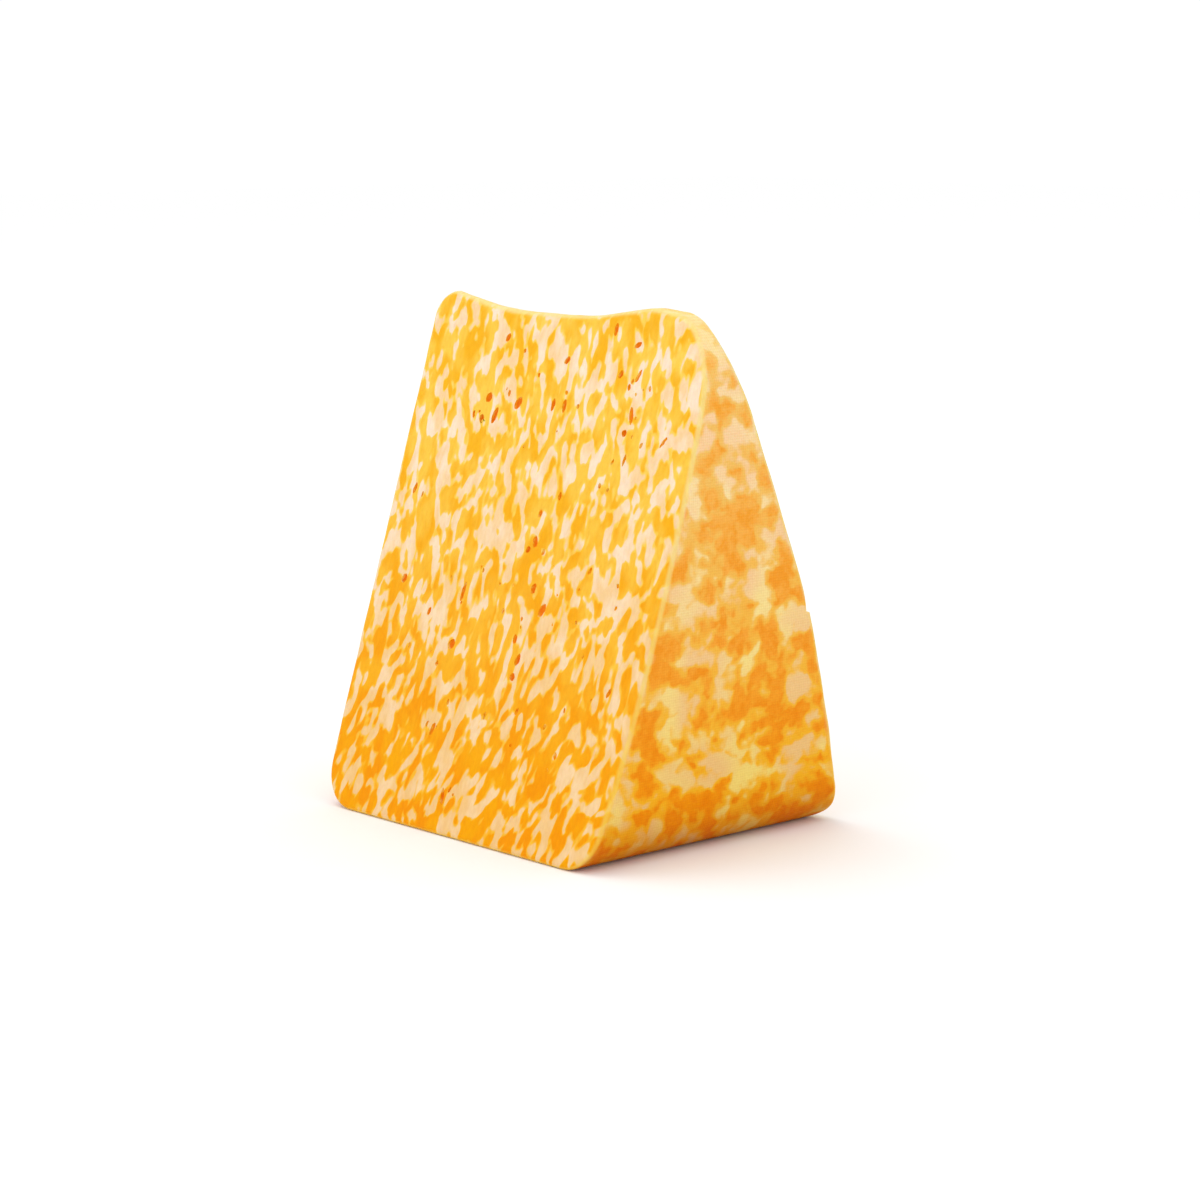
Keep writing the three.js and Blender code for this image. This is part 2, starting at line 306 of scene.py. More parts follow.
# The rind's relief is full at this depth under a cut, the rim's lies about its own depth, and
# the base stays flat up to a height and takes its relief over the next few mm
FULL_RIND_RELIEF = 3
RIM_DEPTH = 0.9
RIM_WIDTH = 1.1
FLAT_BASE = 0.4
RELIEF_RISE = 3


def read_rows(rows, name):
    """The places or directions of a mesh's corners, one row of X, Y and Z for each"""
    values = np.zeros(len(rows) * 3)
    rows.foreach_get(name, values)
    return values.reshape(-1, 3)


def depth_under_cuts(x, y, z):
    """How far a place lies from the nearer cut, along X"""
    return np.minimum(x - left_x(y, z), right_x(y, z) - x)


def relief(points, layers):
    """Smooth noise in layers, each up to about its height either way"""
    total = np.zeros(len(points))
    for high, size, start in layers:
        total += high * np.array([
            noise.noise(Vector((x / size[0] + start, y / size[1], z / size[2])))
            for x, y, z in points])
    return total


def add_relief(mesh):
    """Uneven flats on the outside of the wheel and a nearly flat face on the cuts"""
    points = read_rows(mesh.vertices, "co")
    normals = read_rows(mesh.vertex_normals, "vector")
    from_cut = depth_under_cuts(*points.T)
    rind = np.clip(from_cut / FULL_RIND_RELIEF, 0, 1)
    rim = np.exp(-((from_cut - RIM_DEPTH) / RIM_WIDTH) ** 2)
    base = np.clip((points[:, 2] - FLAT_BASE) / RELIEF_RISE, 0, 1)
    height = (relief(points, CUT_RELIEF) * (1 - rind) + relief(points, RIND_RELIEF) * rind
              + relief(points, RIM_RELIEF) * rim) * base
    moved = points + normals * height[:, None]
    moved[:, 2] = np.maximum(moved[:, 2], 0)
    mesh.vertices.foreach_set("co", moved.ravel())
    mesh.update()


# The openings of the left cut: along Y, up, long, wide, and how far each is turned, in degrees
LEFT_OPENINGS = [
    (19, 116, 2.4, 1.5, 30), (21, 101.5, 2.6, 2.2, 20), (17.5, 97.5, 4.2, 1.8, 14),
    (22, 96.5, 2.2, 1.6, -10), (10, 101, 3.4, 2.2, 28), (-2.5, 101.5, 3.2, 1.3, 4),
    (-6.5, 101.5, 3.4, 1.4, -4), (-4, 112, 2.2, 1.6, 40), (-18.5, 120, 3, 1.4, 0),
    (-27, 117, 2.6, 1.4, 60), (-23.5, 110, 2.2, 1.4, 15), (-29.5, 110, 3.4, 1.1, 20),
    (-30, 101, 4.4, 1.2, -12), (-29, 97, 1.8, 1.6, 0), (-31, 91, 3.2, 0.9, 10),
    (-42.5, 96, 3.2, 0.9, 35), (41, 78, 3, 1.2, 12), (-6.5, 76.5, 2.2, 1.2, 10),
    (-12, 81, 2.2, 1.1, 0), (-7, 70, 3, 1.6, -15), (-5, 68, 1.8, 1.5, 20),
    (37.5, 56.5, 2.6, 1.8, 25), (14.5, 56, 5, 1.2, 8), (-10, 59.5, 2.6, 1.7, 10),
    (-14.5, 55, 3.6, 2.1, 24), (25.5, 50, 2.2, 1.3, 15), (14.5, 43.5, 2.8, 2.1, 35),
    (-7.5, 47.5, 2.4, 1.3, 0), (-10, 43, 3.2, 1.6, 16), (-9.5, 39, 2, 1.7, 30),
    (-43, 40, 2.6, 1.1, 25), (14.5, 23.5, 3.6, 1.3, 20), (5.5, 9, 4, 1.3, -8),
]

# How deep an opening is, and how far under the cut its middle lies, from this width up; how
# uneven its wall is, over lumps of this size; and the step that gives the cut's lean
OPENING_DEPTH = 0.85
OPENING_SUNK = 0.1
FULL_OPENING_WIDTH = 1.6
OPENING_UNEVENNESS = 0.6
OPENING_LUMP_SIZE = 0.9
OPENING_LUMP_DETAIL = 1.5
OPENING_BALL_LEVEL = 3
SLOPE_STEP = 0.5

# Finer openings by rule: how many are tried on each cut, where they may lie, how wide they are,
# how long against their width, how far turned, and their loose groups, each a Y, a height and
# a spread
OPENING_SEED = 7
LEFT_COUNT = 60
RIGHT_COUNT = 64
SMALL_ALONG = (-40, 40)
SMALL_UP = (8, 114)
SMALL_WIDE = (0.4, 1.0)
SMALL_LONG = (1.1, 2.2)
SMALL_TURN = (-20, 30)
LEFT_GROUPS = [(-28, 106, 7), (-33, 92, 6), (-8, 58, 8), (-38, 62, 5), (15, 30, 14), (18, 100, 5)]
RIGHT_GROUPS = [(-10, 84, 12), (22, 44, 11), (-24, 30, 10)]
FURTHEST_ALONG = 44
LOWEST_OPENING = 5
HIGHEST_OPENING = 116


def nick_cutter():
    """A thin wedge that runs the whole thickness and leaves the step of the nick"""
    bottom = NICK_X - NICK_DEPTH
    profile = [
        (bottom, NICK_HEIGHT), (bottom + NICK_REACH, NICK_HEIGHT),
        (bottom + NICK_REACH, NICK_TOP), (bottom - NICK_LEAN * NICK_REACH, NICK_TOP),
    ]
    reach = HALF_THICKNESS + NICK_REACH
    shaper = bmesh.new()
    face = shaper.faces.new([shaper.verts.new((x, -reach, z)) for x, z in profile])
    run = bmesh.ops.extrude_face_region(shaper, geom=[face])
    moved = [v for v in run["geom"] if isinstance(v, bmesh.types.BMVert)]
    bmesh.ops.translate(shaper, verts=moved, vec=(0, 2 * reach, 0))
    bmesh.ops.recalc_face_normals(shaper, faces=shaper.faces)
    mesh = bpy.data.meshes.new("nick_cutter")
    shaper.to_mesh(mesh)
    shaper.free()
    return mesh


def small_openings(draw, count, groups):
    """Finer openings by rule: every second one in a loose group"""
    rows = []
    for i in range(count):
        y, z = draw.uniform(*SMALL_ALONG), draw.uniform(*SMALL_UP)
        if i % 2:
            group_y, group_z, spread = groups[i // 2 % len(groups)]
            y, z = draw.gauss(group_y, spread), draw.gauss(group_z, spread)
        wide = draw.uniform(*SMALL_WIDE)
        rows.append((y, z, wide * draw.uniform(*SMALL_LONG), wide, draw.uniform(*SMALL_TURN)))
    return [row for row in rows
            if abs(row[0]) < FURTHEST_ALONG and LOWEST_OPENING < row[1] < HIGHEST_OPENING]


def opening_places():
    """One point for each opening, with its turn and its size, as a mesh of loose points"""
    draw = random.Random(OPENING_SEED)
    left = LEFT_OPENINGS + small_openings(draw, LEFT_COUNT, LEFT_GROUPS)
    right = small_openings(draw, RIGHT_COUNT, RIGHT_GROUPS)
    points, turns, sizes = [], [], []
    for surface, side, rows in ((left_x, -1, left), (right_x, 1, right)):
        for y, z, long, wide, turn in rows:
            rise = surface(y, z + SLOPE_STEP) - surface(y, z - SLOPE_STEP)
            up = Vector((float(rise) / (2 * SLOPE_STEP), 0, 1)).normalized()
            along = Vector((0, side, 0))
            out = along.cross(up).normalized()
            share = min(1, wide / FULL_OPENING_WIDTH)
            basis = Matrix((along, up, out)).transposed()
            spin = Matrix.Rotation(math.radians(side * turn), 3, "Z")
            points.append(Vector((float(surface(y, z)), y, z)) - out * OPENING_SUNK * share)
            turns.append((basis @ spin).to_euler())
            sizes.append((wide / 2, long / 2, OPENING_DEPTH * share))
    mesh = bpy.data.meshes.new("opening_places")
    mesh.from_pydata(points, [], [])
    for name, rows in (("turn", turns), ("size", sizes)):
        values = mesh.attributes.new(name, "FLOAT_VECTOR", "POINT")
        values.data.foreach_set("vector", [v for row in rows for v in row])
    return mesh


# Large curds that show, on the left cut as Y and up, and on the near end as X and up:
# half wide, half high, how far the top leans to the right in degrees, and cream above 0
LEFT_CUT_CURDS = [
    (8, 69.5, 6, 6, 0, 1), (17.4, 57.6, 2.2, 6, 5, 0.9), (37.4, 63, 2.6, 4, 0, 0.8),
    (21.8, 51, 4, 4, 15, 0.8), (10, 31, 6, 3.4, 20, 1), (0, 27, 2.4, 3, 0, 0.9),
    (40.5, 8, 5.5, 3.4, 40, 1), (8, 14.5, 3.6, 5, 25, 0.9), (-2, 12, 4, 4, 10, 0.9),
    (33, 23, 2.4, 5.5, 42, 0.8), (-35.7, 48, 4, 3.6, 0, 0.8), (34, 98, 4, 4, -20, 0.8),
    (-15.7, 110.5, 4.4, 4, 0, 0.8), (-19.5, 92, 4, 3, 0, 0.6), (10.5, 117, 2, 4.5, 0, 0.7),
    (-19.5, 15.7, 2, 6, 8, 0.9), (-32, 9.5, 4.4, 3.8, 10, 0.9), (44, 48, 3, 4, 0, 0.7),
    (-42.6, 59.5, 3, 5, 0, 0.7), (-42, 20.7, 5, 2, 0, 0.8), (-15, 18, 3.2, 8.5, 4, -1),
    (44.5, 110, 4, 11, 0, -1), (34, 109, 5, 4.4, -20, -0.9), (20.5, 89.5, 2.6, 4.4, 0, -0.8),
    (32, 68, 3, 5.5, 0, -0.9), (42, 39.5, 4, 4.6, 10, -0.9), (-6, 77, 4.4, 4, 0, -0.8),
    (-2, 48, 3, 6, 0, -0.8), (3, 21, 3.4, 3.6, 10, -0.8), (-38, 13, 4, 4.4, 15, -0.8),
    (-27, 51, 3.2, 5, 0, -0.7), (25.5, 17, 4, 4, 25, -0.8), (-22, 117, 5, 4, 0, -0.6),
]
NEAR_END_CURDS = [
    (-12.4, 20, 4.8, 4.6, 0, 1), (5.7, 17.5, 3.6, 7.5, 4, 1), (-14.2, 36, 5, 3, 0, 1),
    (4.5, 43.5, 3, 7.5, 68, 1), (22, 51, 6.4, 4, 0, 1), (0.7, 90, 3.6, 6, 8, 0.9),
    (8.9, 65.5, 2.8, 6.5, -14, 1), (-14.2, 60.5, 5, 4, 0, 0.9), (-9.2, 50, 2.6, 3.8, 0, 0.9),
    (25.7, 18.5, 5, 6, 10, 1), (-30.5, 15.5, 4.4, 7, 10, 1), (-9.9, 78, 4, 4, 0, 0.8),
    (24.5, 37, 3, 3, 0, 0.8), (-19, 8, 2.6, 5, 0, 0.8), (14.5, 15.5, 3, 3.4, 0, 0.7),
    (15.7, 29, 7, 7.5, 0, -1), (-24, 25, 3.8, 6.5, 12, -1), (3.2, 78, 6.5, 4, 0, -0.9),
    (18, 63.5, 4.4, 4.4, 0, -1), (-4, 68, 3.4, 4, 0, -0.9), (18, 43, 5, 3, 0, -0.9),
    (-2.5, 12, 3.4, 5, 0, -0.9), (-22, 45, 3.6, 4.4, 10, -0.9), (-4, 32, 4.4, 4, 0, -0.9),
    (-13, 11.5, 5, 2.4, 0, -0.8), (0, 53, 5.5, 3, 0, -0.8), (34, 10, 2.6, 4, 0, -0.6),
]

# How sharply a large curd ends, and how far in it reaches: on the left cut it fades out between
# these depths under the cut, and on the near end between these places along Y
CURD_FALL = 1.4
CUT_CURD_DEPTHS = (2, 8)
END_CURD_PLACES = (-44, -36)

# The rind begins at these depths under a cut, and ends at these depths under the outside
RIND_BEGINS = (0.6, 1.8)
RIND_ENDS = (2.5, 4.5)


def curd_push(along, up, curds):
    """How far each place leans to cream or to orange because of the large curds"""
    push = np.zeros(len(along))
    for middle, height, half_wide, half_high, turn, amount in curds:
        lean = math.radians(turn)
        across, rise = along - middle, up - height
        wide = (across * math.cos(lean) - rise * math.sin(lean)) / half_wide
        high = (across * math.sin(lean) + rise * math.cos(lean)) / half_high
        push += amount * np.exp(-(wide ** 2 + high ** 2) ** CURD_FALL)
    return push


def share_between(values, low, high):
    """0 below low, 1 above high, and even between"""
    return np.clip((values - low) / (high - low), 0, 1)


def depth_under_outside(y, z):
    """How far each place lies from the wheel's outside, seen along X"""
    outline = kdtree.KDTree(LOOP_COUNT)
    for i, (u, v) in enumerate(on_section(LOOP_RUN[:-1])):
        outline.insert((u, v, 0), i)
    outline.balance()
    return np.array([outline.find((u, v, 0))[2] for u, v in zip(y, z)])


def mark_surface(mesh):
    """Writes what the finishes read: how deep each corner lies under a cut, how far it belongs
    to the rind, and how far the large curds push it to cream"""
    x, y, z = read_rows(mesh.vertices, "co").T
    from_cut = np.maximum(depth_under_cuts(x, y, z), 0)
    rind = share_between(from_cut, *RIND_BEGINS)
    rind *= 1 - share_between(depth_under_outside(y, z), *RIND_ENDS)
    # seen from the left, Y runs to the left, so it is turned round for the curds' lean
    left = curd_push(-y, z, [(-row[0], *row[1:]) for row in LEFT_CUT_CURDS])
    left *= 1 - share_between(x - left_x(y, z), *CUT_CURD_DEPTHS)
    near = curd_push(x, z, NEAR_END_CURDS) * (1 - share_between(y, *END_CURD_PLACES))
    push = left * (1 - rind) + near * rind
    for name, values in (("from_cut", from_cut), ("rind", rind), ("push", push)):
        row = mesh.attributes.new(name, "FLOAT", "POINT")
        row.data.foreach_set("value", values.astype(np.float32))


# Node trees

class Amount:
    """A number in a node tree, so that sums on it are written as sums"""

    def __init__(self, graph, socket):
        self.graph = graph
        self.socket = socket

    def sum(self, kind, first, second):
        return self.graph.add("ShaderNodeMath", {"operation": kind}, {0: first, 1: second})

    def __add__(self, other):
        return self.sum("ADD", self, other)

    def __radd__(self, other):
        return self.sum("ADD", other, self)

    def __sub__(self, other):
        return self.sum("SUBTRACT", self, other)

    def __rsub__(self, other):
        return self.sum("SUBTRACT", other, self)

    def __mul__(self, other):
        return self.sum("MULTIPLY", self, other)

    def __rmul__(self, other):
        return self.sum("MULTIPLY", other, self)

    def __truediv__(self, other):
        return self.sum("DIVIDE", self, other)

    def __rtruediv__(self, other):
        return self.sum("DIVIDE", other, self)


class Graph:
    """A node tree with one way to add any node"""

    def __init__(self, tree):
        self.tree = tree

    def add(self, kind, settings=None, links=None, out=0):
        """Any node: its settings, the values or links of its sockets, and the output wanted"""
        node = self.tree.nodes.new(kind)
        for name, value in (settings or {}).items():
            if name == "stops":
                ramp = node.color_ramp.elements
                while len(ramp) < len(value):
                    ramp.new(1)
                for stop, (place, colour) in zip(ramp, value):
                    stop.position = place
                    stop.color = colour
            else:
                setattr(node, name, value)
        for name, value in (links or {}).items():
            socket = node.inputs[name]
            if isinstance(value, Amount):
                self.tree.links.new(value.socket, socket)
            else:
                socket.default_value = value
        return Amount(self, node.outputs[out]) if len(node.outputs) else None

    def parts(self, vector):
        """The X, Y and Z of a vector, or the red, green and blue of a colour"""
        whole = self.add("ShaderNodeSeparateXYZ", {}, {0: vector})
        return [Amount(self, socket) for socket in whole.socket.node.outputs]

    def join(self, x, y, z):
        return self.add("ShaderNodeCombineXYZ", {}, {0: x, 1: y, 2: z})

    def scaled(self, vector, factor):
        return self.add("ShaderNodeVectorMath", {"operation": "SCALE"}, {0: vector, "Scale": factor})

    def moved(self, vector, other):
        return self.add("ShaderNodeVectorMath", {"operation": "ADD"}, {0: vector, 1: other})

    def step(self, value, low, high):
        """0 below low, 1 above high, and smooth between"""
        return self.add("ShaderNodeMapRange", {"interpolation_type": "SMOOTHSTEP"},
                        {0: value, 1: low, 2: high, 3: 0.0, 4: 1.0})

    def noise(self, place, size, detail=2.0, rough=0.5, out=0):
        """Noise with lumps of about a size in mm"""
        return self.add("ShaderNodeTexNoise", {"noise_dimensions": "3D"},
                        {"Vector": place, "Scale": 1 / size, "Detail": detail, "Roughness": rough}, out)

    def drift(self, place, size, detail, reach):
        """A small move for each place, by noise, up to about half a reach either way"""
        centred = self.moved(self.noise(place, size, detail, out=1), (-0.5, -0.5, -0.5))
        return self.scaled(centred, reach)

    def wave(self, along, pitch):
        return self.add("ShaderNodeMath", {"operation": "SINE"}, {0: along * (2 * math.pi / pitch)})

    def mix(self, share, first, second):
        """Two colours mixed by a share of the second"""
        return self.add("ShaderNodeMix", {"data_type": "RGBA"}, {0: share, 6: first, 7: second}, 2)

    def place(self):
        """Where on the object a place lies, in mm"""
        return self.scaled(self.add("ShaderNodeTexCoord", {}, {}, "Object"), 1 / MM)

    def mark(self, name):
        """A number that mark_surface has written"""
        return self.add("ShaderNodeAttribute", {"attribute_name": name}, {}, "Fac")


def opening_tree(finish):
    """Puts an uneven lump at each point, as a cutter for one opening; gives the tree and what
    its inputs are set to"""
    tree = bpy.data.node_groups.new("opening_cutters", "GeometryNodeTree")
    face = tree.interface
    face.new_socket("Geometry", in_out="INPUT", socket_type="NodeSocketGeometry")
    uneven_by = face.new_socket("Unevenness", in_out="INPUT", socket_type="NodeSocketFloat")
    lumps_of = face.new_socket("Lump size", in_out="INPUT", socket_type="NodeSocketFloat")
    face.new_socket("Geometry", in_out="OUTPUT", socket_type="NodeSocketGeometry")
    graph = Graph(tree)
    start = graph.add("NodeGroupInput")
    points, unevenness, lump_size = [Amount(graph, socket) for socket in start.socket.node.outputs][:3]
    named = "GeometryNodeInputNamedAttribute"
    turn = graph.add(named, {"data_type": "FLOAT_VECTOR"}, {"Name": "turn"})
    size = graph.add(named, {"data_type": "FLOAT_VECTOR"}, {"Name": "size"})
    ball = graph.add("GeometryNodeMeshIcoSphere", {}, {
        "Radius": 1.0, "Subdivisions": OPENING_BALL_LEVEL})
    facing = graph.add("FunctionNodeEulerToRotation", {}, {0: turn})
    placed = graph.add("GeometryNodeInstanceOnPoints", {}, {
        "Points": points, "Instance": ball, "Rotation": facing, "Scale": size})
    whole = graph.add("GeometryNodeRealizeInstances", {}, {0: placed})
    place = graph.add("GeometryNodeInputPosition")
    offset = graph.drift(place, lump_size, OPENING_LUMP_DETAIL, unevenness)
    uneven = graph.add("GeometryNodeSetPosition", {}, {"Geometry": whole, "Offset": offset})
    finished = graph.add("GeometryNodeSetMaterial", {}, {"Geometry": uneven, "Material": finish})
    graph.add("NodeGroupOutput", {}, {0: finished})
    return tree, {uneven_by.identifier: OPENING_UNEVENNESS, lumps_of.identifier: OPENING_LUMP_SIZE}


# Finishes

# How much light the palest, most lit cheese gives back
CHEESE_ALBEDO = 0.82

# Colours as they show on a screen, near the foot and near the top; the paler top is partly the cheese's
# own colour and partly painted light from above. The second of each pair is the paler curds, and of the
# near end's cream the yellower ones.
CUT_ORANGE = [((251, 156, 0), (252, 184, 30)), ((252, 172, 0), (254, 206, 76))]
CUT_CREAM = [((247, 202, 134), (253, 214, 160)), ((251, 214, 162), (255, 231, 202))]
CUT_FRINGE = ((253, 190, 50), (254, 212, 90))
END_ORANGE = [((244, 140, 0), (252, 168, 52)), ((250, 156, 4), (254, 186, 86))]
END_CREAM = [((242, 196, 124), (255, 212, 160)), ((248, 218, 116), (255, 228, 168))]
END_FRINGE = ((250, 182, 30), (250, 196, 100))
# the yellow of the painted highlights along the cut edges and the ridge
EDGE_HIGHLIGHT_YELLOW = ((253, 210, 84), (255, 231, 150))
OPENING_WALL = [(0.35, (255, 160, 8)), (0.5, (255, 182, 34)), (0.65, (255, 214, 110))]
# the darker, redder colour deep inside an opening, a painted shade
OPENING_SHADED_BOTTOM = (255, 138, 24)
COLOUR_AND_PAINTED_LIGHT_HEIGHTS = (6.0, 104.0)

# Where the field of curds turns from orange to the fringe, and from the fringe to cream
CUT_BORDERS = (0.452, 0.50, 0.552)
END_BORDERS = (0.385, 0.495, 0.615)

# Curds: size of one, size, detail and roughness of the cloud over them, and share of the curds
STREAK_CURDS = (2.6, 2.45, 0.8, 0.5, 0.18)
BLOTCH_CURDS = (4.6, 4.8, 1.4, 0.45, 0.14)

# How curds are bent: size of the noise, its detail and its reach
BROAD_DRIFT = (24, 1.0, 6.0)
FINE_DRIFT = (2.4, 0.0, 1.0)
RAGGED_DRIFT = (3.4, 1.0, 3.6)

# Streaks are drawn out along X and up, and lean near the foot. Blotches are drawn out less.
STREAK_X, STREAK_Z = 0.7, 0.48
BLOTCH_X, BLOTCH_Y = 0.85, 0.6
FOOT_LEAN, FOOT_BEND = 0.12, 0.167

# How strongly the large curds show, and how much more cream the near end has high up than low
LARGE_ON_CUT, LARGE_ON_END = 0.11, 0.17
END_CREAM_AT_TOP, END_CREAM_FALL = 0.03, 0.055

# The painted highlight along a cut's edge, a pale band between depths under the cut, and the painted
# highlight on the ridge, by height
EDGE_HIGHLIGHT_STARTS, EDGE_HIGHLIGHT_STOPS, EDGE_HIGHLIGHT_SHARE = (0.1, 0.6), (0.9, 1.8), 0.7
RIDGE_HIGHLIGHT_HEIGHTS, RIDGE_HIGHLIGHT_SHARE = (108.0, 124.0), 0.55

# Soft patches of tone on both, of hue and of flecks on the near end: the noise's size, detail
# and roughness, and the two values that it is taken between
TONE_PATCHES = (6, 2.0, 0.5, 0.36, 0.64)
HUE_PATCHES = (17, 1.5, 0.5, 0.38, 0.62)
FLECKS = (2.4, 2.0, 0.6, 0.3, 0.7)
OPENING_PATCHES = (1.5, 2.0)
# painted shade in the openings: the depths under the cut over which their walls turn darker and redder
OPENING_SHADE_DEPTHS = (0.25, 0.7)

# How much some noises are drawn out upwards: the smaller, the longer
TONE_Z, VEIL_Z, STROKE_Z = 0.5, 0.35, 0.08

# Light and dark: the veil on the cuts, the cloth's weave and print on the rind, and painted shade at
# the rind's foot, darker towards the bottom
VEIL_NOISE, VEIL_TONE = (0.9, 3.0, 0.6), 0.16
PRINT_NOISE, PRINT_TONE = (0.55, 2.0, 0.6), 0.12
CLOTH_PITCH, CLOTH_WAVE, CLOTH_TONE = 0.62, 0.25, 0.06
# painted shade at the foot: the heights in mm over which it fades in, and how dark it gets
FOOT_PAINTED_SHADE_HEIGHTS, FOOT_PAINTED_SHADE = (16.0, 0.0), 0.28
RIND_LIGHTER = 0.07

# Fine relief by bump, in mm, and how rough the surface is
CLOTH_HEIGHT = 0.05
GRAIN_NOISE, CUT_GRAIN, RIND_GRAIN = (0.5, 2.0), 0.03, 0.08
STROKE_NOISE, STROKE_HEIGHT = (0.7, 2.0), 0.05
BUMP_STRENGTH = 0.6
CUT_ROUGH, RIND_ROUGHER, GRAIN_ROUGHER = 0.4, 0.16, 0.1
OPENING_ROUGH = 0.45


def srgb(red, green, blue):
    """A colour given as it shows on a screen, 0 to 255, as the renderer takes it"""
    values = [v / 255 for v in (red, green, blue)]
    linear = [v / 12.92 if v <= 0.04045 else ((v + 0.055) / 1.055) ** 2.4 for v in values]
    return (*(v * CHEESE_ALBEDO for v in linear), 1.0)


def new_finish(name):
    finish = bpy.data.materials.new(name)
    finish.use_nodes = True
    finish.node_tree.nodes.clear()
    return finish, Graph(finish.node_tree)


def close_finish(graph, links):
    """The one surface shader of a finish, with what is the same all over set on it"""
    same = {
        "Specular IOR Level": 0.05, "Subsurface Weight": 0.2, "Subsurface Scale": 0.0012,
        "Subsurface Radius": (1.0, 0.5, 0.18), "IOR": 1.45,
    }
    shader = graph.add("ShaderNodeBsdfPrincipled", {}, {**same, **links})
    graph.add("ShaderNodeOutputMaterial", {}, {"Surface": shader})


def curds(graph, place, cell, lump, detail, rough, share):
    """Pressed curds, each of its own tone by a share, under an uneven cloud"""
    cells = graph.add("ShaderNodeTexVoronoi", {"feature": "SMOOTH_F1"}, {
        "Vector": place, "Scale": 1 / cell, "Smoothness": 1.0}, "Color")
    return graph.parts(cells)[0] * share + graph.noise(place, lump, detail, rough) * (1 - share)


def marbling(graph, place, x, y, z):
    """How far each place is towards cream, on the cuts and on the outside of the wheel"""
    fall = 1 - z / HEIGHT
    flow = (fall * FOOT_LEAN - fall * fall * fall * FOOT_BEND) * HEIGHT
    broad = graph.drift(place, *BROAD_DRIFT)
    laid = graph.join(x * STREAK_X, y + flow, z * STREAK_Z)
    fine = graph.drift(laid, *FINE_DRIFT)
    streaks = curds(graph, graph.moved(graph.moved(laid, broad), fine), *STREAK_CURDS)
    loose = graph.moved(graph.join(x * BLOTCH_X, y * BLOTCH_Y, z), broad)
    ragged = graph.drift(place, *RAGGED_DRIFT)
    blotches = curds(graph, graph.moved(loose, ragged), *BLOTCH_CURDS)
    push = graph.mark("push")
    more = END_CREAM_AT_TOP - fall * END_CREAM_FALL
    return streaks + push * LARGE_ON_CUT, blotches + push * LARGE_ON_END + more


def patches(graph, place, size, detail, rough, low, high):
    """Soft patches of a noise, from 0 at its low value to 1 at its high one"""
    return graph.step(graph.noise(place, size, detail, rough), low, high)


def curd_colour(graph, field, orange, fringe, cream, borders):
    """Orange curds that turn to cream through a yellow fringe"""
    start, middle, end = borders
    warm = graph.mix(graph.step(field, start, middle), orange, fringe)
    return graph.mix(graph.step(field, middle, end), warm, cream)


def cheese_colour(graph, place, x, y, z, rind):
    """The marbling's colours, with painted highlights as pale bands along the edges and the ridge"""
    # paler towards the top, partly the cheese's own colour and partly painted light from above
    up = graph.step(z, *COLOUR_AND_PAINTED_LIGHT_HEIGHTS)
    tone = patches(graph, graph.join(x, y, z * TONE_Z), *TONE_PATCHES)
    hue = patches(graph, place, *HUE_PATCHES)
    fleck = patches(graph, place, *FLECKS)

    def by_height(colours):
        return graph.mix(up, *(srgb(*colour) for colour in colours))

    def toned(share, pair):
        return graph.mix(share, *(by_height(colours) for colours in pair))

    streaks, blotches = marbling(graph, place, x, y, z)
    cut = curd_colour(graph, streaks, toned(tone, CUT_ORANGE), by_height(CUT_FRINGE),
                      toned(tone, CUT_CREAM), CUT_BORDERS)
    end = curd_colour(graph, blotches, toned(fleck, END_ORANGE), by_height(END_FRINGE),
                      toned(hue, END_CREAM), END_BORDERS)
    from_cut = graph.mark("from_cut")
    # painted highlight: a pale yellow band along each cut's edge and over the top of the ridge
    rim = graph.step(from_cut, *EDGE_HIGHLIGHT_STARTS) * (1 - graph.step(from_cut, *EDGE_HIGHLIGHT_STOPS)) * EDGE_HIGHLIGHT_SHARE
    ridge = graph.step(z, *RIDGE_HIGHLIGHT_HEIGHTS) * rind * RIDGE_HIGHLIGHT_SHARE
    pale = by_height(EDGE_HIGHLIGHT_YELLOW)
    return graph.mix(rim, graph.mix(ridge, graph.mix(rind, cut, end), pale), pale)


